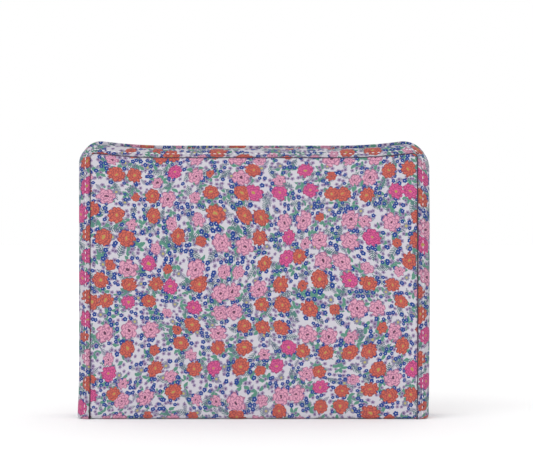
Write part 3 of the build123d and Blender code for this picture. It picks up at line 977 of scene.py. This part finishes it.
def folded(u, v, halfU, halfV, radius, deep, corner=0.0):
    # a cloth whose four sides fold up round corners: gives across, along and how far up
    halfU, halfV = halfU - corner, halfV - corner
    over = Vector((max(0.0, abs(u) - halfU), max(0.0, abs(v) - halfV)))
    away = min(over.length - corner, deep)
    if away < 1e-9:
        return u, v, 0.0
    over.normalize()
    turn = min(away / radius, pi / 2)
    out = corner + radius * sin(turn)
    rise = radius * (1 - cos(turn)) + max(0.0, away - radius * pi / 2)
    across = (min(abs(u), halfU) + over.x * out) * (1 if u > 0 else -1)
    along = (min(abs(v), halfV) + over.y * out) * (1 if v > 0 else -1)
    return across, along, rise


def cornersOff(mesh, halfU, halfV, deep, corner=0.0):
    # cuts away the cloth beyond the folded-up rim
    halfU, halfV, deep = halfU - corner, halfV - corner, deep + corner
    gone = []
    for face in mesh.faces:
        beyond = [(max(0.0, abs(v.co.x) - halfU), max(0.0, abs(v.co.y) - halfV)) for v in face.verts]
        if all(hypot(*over) > deep for over in beyond):
            gone.append(face)
    bmesh.ops.delete(mesh, geom=gone, context="FACES")


def sagAt(x):
    # how far the top edge rises above its level middle
    beyond = max(0.0, abs(x) - case["levelHalf"]) / (liningShape["half"] - case["levelHalf"])
    return case["sag"] * min(1.0, beyond) ** 2


def makeLining(label):
    half = halves[label]
    side = half["side"]
    shape = liningShape
    radius = shape["fold"]
    halfU = shape["half"] - radius
    tall = (shape["high"] - shape["low"]) / 2
    halfV = tall - radius
    deep = radius * pi / 2 + shape["floor"] - shape["rim"] - radius

    def cut(s, t):
        return s * (halfU + deep), t * (halfV + deep)

    def bend(u, v):
        x, z, rise = folded(u, v, halfU, halfV, radius, deep, shape["corner"])
        share = (z + tall) / (2 * tall)
        crease = 0.5 * mm * ripple(u, v, 33 * mm, 8 * side) + 0.25 * mm * ripple(u, v, 11 * mm, 2 * side)
        crease = min(0.25 * mm, crease) if rise < radius else 0.3 * crease
        y = shape["floor"] - rise - crease
        return Vector((x, side * y, shape["low"] + tall + z + sagAt(x) * share))

    piece = cutCloth(
        f"{label}_lining_cloth",
        78,
        62,
        cut,
        bend,
        liningNylon,
        half["body"],
        trim=lambda mesh: cornersOff(mesh, halfU, halfV, deep, shape["corner"]),
    )
    faceAway(piece, Vector((0, 0, 115 * mm)), -1)
    piece.data.materials.append(foamWhite)
    thicken(piece, shape["foam"], -1)
    piece.modifiers["ply"].material_offset = 1
    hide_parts(f"{label}_lining", f"{label}_foam")


for label in halves:
    makeLining(label)
report("linings")


# the tape over the hinge, and a tab over each end of the zip
hingeTapeShape = {"half": 140 * mm, "reach": 10 * mm, "height": 5.05 * mm, "ply": 0.5 * mm}
tabShape = {
    "half": 9.6 * mm,
    "inset": 1.2 * mm,  # from the case's side
    "top": 7 * mm,
    "down": 3.8 * mm,
    "radius": 3 * mm,
    "under": 5 * mm,
}


def makeHingeTape():
    shape = hingeTapeShape

    def cut(s, t):
        return shape["half"] * s, shape["reach"] * t

    def bend(u, v):
        return Vector((u, v, shape["height"] + 0.12 * mm * ripple(u, v, 12 * mm, 5)))

    piece = cutCloth("hinge_tape_cloth", 70, 24, cut, bend, grosgrain, None)
    faceAway(piece, Vector((0, 0, 0)))
    thicken(piece, shape["ply"])
    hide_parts("hinge_tape")
    bpy.context.view_layer.objects.active = piece
    with bpy.context.temp_override(object=piece, active_object=piece, selected_objects=[piece]):
        bpy.ops.object.modifier_apply(modifier="ply")
    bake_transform(piece)


def makeTab(label, hand):
    tab = tabShape
    path = {
        "start": (hand * (halfWidth - tab["inset"]), tab["top"], -pi / 2),
        "runs": [(tab["down"], 0), (tab["radius"] * pi / 2, -hand * pi / 2), (tab["under"], 0)],
    }
    length = pathLength(path)

    def cut(s, t):
        return tab["half"] * s, length * (t + 1) / 2

    def bend(u, v):
        x, z, heading = walk(path, *runAt(path, v))
        return Vector((x, u, max(z, 0.25 * mm)))

    piece = cutCloth(f"zip_end_tab_{label}", 16, 12, cut, bend, gussetCanvas, None)
    faceAway(piece, Vector((0, 0, 20 * mm)))
    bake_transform(piece)


makeHingeTape()
makeTab("right", 1)
makeTab("left", -1)
report("hinge tape and zip tabs")


# the pockets
pocketShape = {
    "half": 137.7 * mm,
    "face": 12.3 * mm,  # of the front sheet's middle, from the middle plane
    "rear": 27.0 * mm,
    "fold": 4 * mm,
    "window": 5 * mm,  # from the zip's middle to the sheet's edge
    "windowHalf": 133.6 * mm,
    "bulge": 1.8 * mm,
    "tapeHalf": 137.2 * mm,
    "tapeFar": 8.2 * mm,
    "tapeNear": 2.0 * mm,
    "coilHalf": 134.4 * mm,
    "pitch": 1.7 * mm,
    "tooth": (0.95 * mm, 1.5 * mm, 2.5 * mm),
    "bindingWidth": 7 * mm,
    "stitchPitch": 3.6 * mm,
}


def uPath(half, straight, corner):
    # down one side, along the foot and up the other, with its middle at the foot's middle
    runs = [
        (straight - corner, 0),
        (corner * pi / 2, pi / 2),
        (2 * (half - corner), 0),
        (corner * pi / 2, pi / 2),
        (straight - corner, 0),
    ]
    return {"start": (-half, straight, -pi / 2), "runs": runs}


def makePocket(name, body, material):
    p = pocketShape
    low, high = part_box(f"{name}_walls")
    foot, top = low[2], high[2]
    side = 1 if low[1] > 0 else -1
    zipZ = sum(corner[2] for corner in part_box(f"{name}_zip_coils")) / 2
    up = 1 if zipZ > (foot + top) / 2 else -1  # a cover pocket stands on its head
    base = foot if up > 0 else top
    middle = (foot + top) / 2
    radius = p["fold"]
    halfU = p["half"] - radius
    halfV = (top - foot) / 2 - 0.3 * mm - radius
    deep = radius * pi / 2 + p["rear"] - p["face"] - radius
    zipV = zipZ - middle
    seed = sum(ord(letter) for letter in name)

    def cut(s, t):
        return s * (halfU + deep), t * (halfV + deep)

    def trim(mesh):
        cornersOff(mesh, halfU, halfV, deep)
        for place, across in (
            ((0, zipV + p["window"], 0), (0, 1, 0)),
            ((0, zipV - p["window"], 0), (0, 1, 0)),
            ((p["windowHalf"], 0, 0), (1, 0, 0)),
            ((-p["windowHalf"], 0, 0), (1, 0, 0)),
        ):
            geometry = mesh.verts[:] + mesh.edges[:] + mesh.faces[:]
            bmesh.ops.bisect_plane(mesh, geom=geometry, plane_co=place, plane_no=across)
        gone = []
        for face in mesh.faces:
            centre = face.calc_center_median()
            if abs(centre.x) < p["windowHalf"] and abs(centre.y - zipV) < p["window"]:
                gone.append(face)
        bmesh.ops.delete(mesh, geom=gone, context="FACES")

    def bend(u, v):
        x, z, rise = folded(u, v, halfU, halfV, radius, deep)
        y = p["face"] + rise
        beneath = (zipV - v) * up - p["window"]
        if rise == 0 and beneath > 0:
            room = min(1.0, beneath / (30 * mm), (halfU - abs(u)) / (40 * mm), (halfV + v * up) / (30 * mm))
            room = max(0.0, room)
            y -= p["bulge"] * room * (1 + 0.5 * ripple(u, v, 60 * mm, seed))
            y += 0.25 * mm * ripple(u, v, 18 * mm, seed) * room
        return Vector((x, side * y, middle + z))

    bindingName = f"{name}_binding_cloth"
    sheet = cutCloth(f"{name}_sheet", 92, 46, cut, bend, material, body, trim)
    faceAway(sheet, Vector((0, side * 20 * mm, middle)))
    thicken(sheet, 0.35 * mm)
    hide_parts(f"{name}_front", f"{name}_header", f"{name}_walls")

    # zip tapes, with a slit between them for the teeth
    def cutTape(s, t):
        return s * p["tapeHalf"], t * p["tapeFar"]

    def trimTape(mesh):
        for edge in (p["tapeNear"], -p["tapeNear"]):
            geometry = mesh.verts[:] + mesh.edges[:] + mesh.faces[:]
            bmesh.ops.bisect_plane(mesh, geom=geometry, plane_co=(0, edge, 0), plane_no=(0, 1, 0))
        gone = [face for face in mesh.faces if abs(face.calc_center_median().y) < p["tapeNear"]]
        bmesh.ops.delete(mesh, geom=gone, context="FACES")

    def bendTape(u, v):
        return Vector((u, side * (12.9 * mm + 0.06 * mm * ripple(u, v, 9 * mm, seed)), zipZ + v))

    tapeName = f"{name}_zip_tape_cloth"
    tape = cutCloth(tapeName, 90, 8, cutTape, bendTape, zipTapeWeave, body, trimTape)
    faceAway(tape, Vector((0, side * 20 * mm, middle)))
    thicken(tape, 0.4 * mm)
    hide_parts(f"{name}_zip_tapes")

    teeth = []
    straight = Matrix.Identity(3)
    for index in range(int(2 * p["coilHalf"] / p["pitch"])):
        for row in (-1, 1):
            x = -p["coilHalf"] + (index + (0.75 if row > 0 else 0.25)) * p["pitch"]
            teeth.append((Vector((x, side * 12.9 * mm, zipZ + row * 1.0 * mm)), straight))
    coil = rowOfGrains(f"{name}_zip_teeth", teeth, p["tooth"], coilNylon, body)
    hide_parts(f"{name}_zip_coils")

    # binding round the sides and foot, folded to a point at its inner corners
    outer = uPath(138 * mm, top - foot, 5 * mm)
    inner = uPath(138 * mm - p["bindingWidth"], top - foot - p["bindingWidth"], 0.4 * mm)
    length = pathLength(outer)

    def cutBinding(s, t):
        return length * (s + 1) / 2, p["bindingWidth"] * (t + 1) / 2

    def onBinding(u, v):
        run, share = runAt(outer, u)
        x, z, heading = walk(outer, run, share)
        farX, farZ, _ = walk(inner, run, share)
        part = v / p["bindingWidth"]
        x, z = x + (farX - x) * part, z + (farZ + p["bindingWidth"] - z) * part
        return x, base + up * z, heading

    def bendBinding(u, v):
        x, z, heading = onBinding(u, v)
        crown = 1 - (2 * v / p["bindingWidth"] - 1) ** 2
        y = 11.85 * mm - 0.35 * mm * crown + 0.08 * mm * ripple(u, v, 7 * mm, seed)
        return Vector((x, side * y, z))

    binding = cutCloth(bindingName, 190, 6, cutBinding, bendBinding, grosgrain, body)
    faceAway(binding, Vector((0, side * 20 * mm, middle)))
    thicken(binding, 0.4 * mm)
    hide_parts(f"{name}_binding")

    stitches = []
    for index in range(int(length / p["stitchPitch"])):
        u = (index + 0.5) * p["stitchPitch"]
        x, z, heading = onBinding(u, p["bindingWidth"] - 1.3 * mm)
        heading *= up
        turned = Matrix(((cos(heading), 0, -sin(heading)), (0, 1, 0), (sin(heading), 0, cos(heading))))
        stitches.append((Vector((x, side * 11.5 * mm, z)), turned))
    for index in range(int(2 * p["windowHalf"] / p["stitchPitch"])):
        x = -p["windowHalf"] + (index + 0.5) * p["stitchPitch"]
        for row in (-1, 1):
            stitches.append((Vector((x, side * 12.05 * mm, zipZ + row * (p["window"] + 1.6 * mm))), straight))
    row = rowOfGrains(f"{name}_stitches", stitches, (2.6 * mm, 0.4 * mm, 0.5 * mm), threadWhite, body)


for number, body in ((1, "back"), (2, "back"), (3, "cover"), (4, "cover")):
    if number in (1, 3):
        makePocket(f"pocket_{number}", body, vinyl)
    else:
        makePocket(f"pocket_{number}", body, net)
report("pockets")


# the webbing loop that holds the hook
loopShape = {
    "half": 12.5 * mm,
    "ply": 1.1 * mm,
    "start": (32.65 * mm, 200.5 * mm),  # back and up, at the foot of the back ply
    "up": 24 * mm,
    "round": 3.35 * mm,  # radius over the hook's bar
    "over": radians(240),
    "neck": 3.9 * mm,
    "down": 11.5 * mm,
    "seam": 34.5 * mm,  # of the stitches from the middle plane
}


def makeLoop():
    loop = loopShape
    path = {
        "start": (*loop["start"], pi / 2),
        "runs": [
            (loop["up"], 0),
            (loop["round"] * loop["over"], -loop["over"]),
            (loop["neck"], 0),
            (1 * mm * radians(60), radians(60)),
            (loop["down"], 0),
        ],
    }
    length = pathLength(path)

    def cut(s, t):
        return loop["half"] * s, length * (t + 1) / 2

    def bend(u, v):
        y, z, heading = walk(path, *runAt(path, v))
        return Vector((u, y, z))

    piece = cutCloth("hanger_loop_webbing", 20, 70, cut, bend, webbing, "back")
    faceAway(piece, Vector((0, 36 * mm, 224.5 * mm)))
    thicken(piece, loop["ply"])
    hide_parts("hanger_loop")

    stitches = []
    for row in (208.6, 217.6):
        for index in range(7):
            stitches.append((Vector(((index - 3) * 3.4 * mm, loop["seam"], row * mm)), Matrix.Identity(3)))
    upright = Matrix(((0, 0, 1), (0, 1, 0), (-1, 0, 0)))
    for hand in (-1, 1):
        for index in range(3):
            stitches.append((Vector((hand * 10.6 * mm, loop["seam"], (210.2 + 2.9 * index) * mm)), upright))
        for index in range(7):
            share = (index + 0.5) / 7
            slant = Matrix.Rotation(-hand * atan(9 / 20), 3, "Y")
            place = Vector((hand * (share * 20 - 10) * mm, loop["seam"], (208.9 + share * 8.4) * mm))
            stitches.append((place, slant))
    row = rowOfGrains("hanger_loop_stitches", stitches, (2.7 * mm, 0.5 * mm, 0.6 * mm), threadWhite, "back")


makeLoop()

# the hard parts keep the frame's own shapes
for name, node in nodes.items():
    finish = None
    if any(word in name for word in ("slider", "pull", "stops")):
        finish = nickel
    elif name == "hanger_hook":
        finish = acetal
    if finish:
        node.data.materials.clear()
        node.data.materials.append(finish)
report("loop and hard parts")

# the floor
floorMesh = bmesh.new()
bmesh.ops.create_grid(floorMesh, x_segments=1, y_segments=1, size=30)
floor = finishPiece("floor", floorMesh, newMaterial("paintedFloor", studio["floorColour"], 0.9)[0])
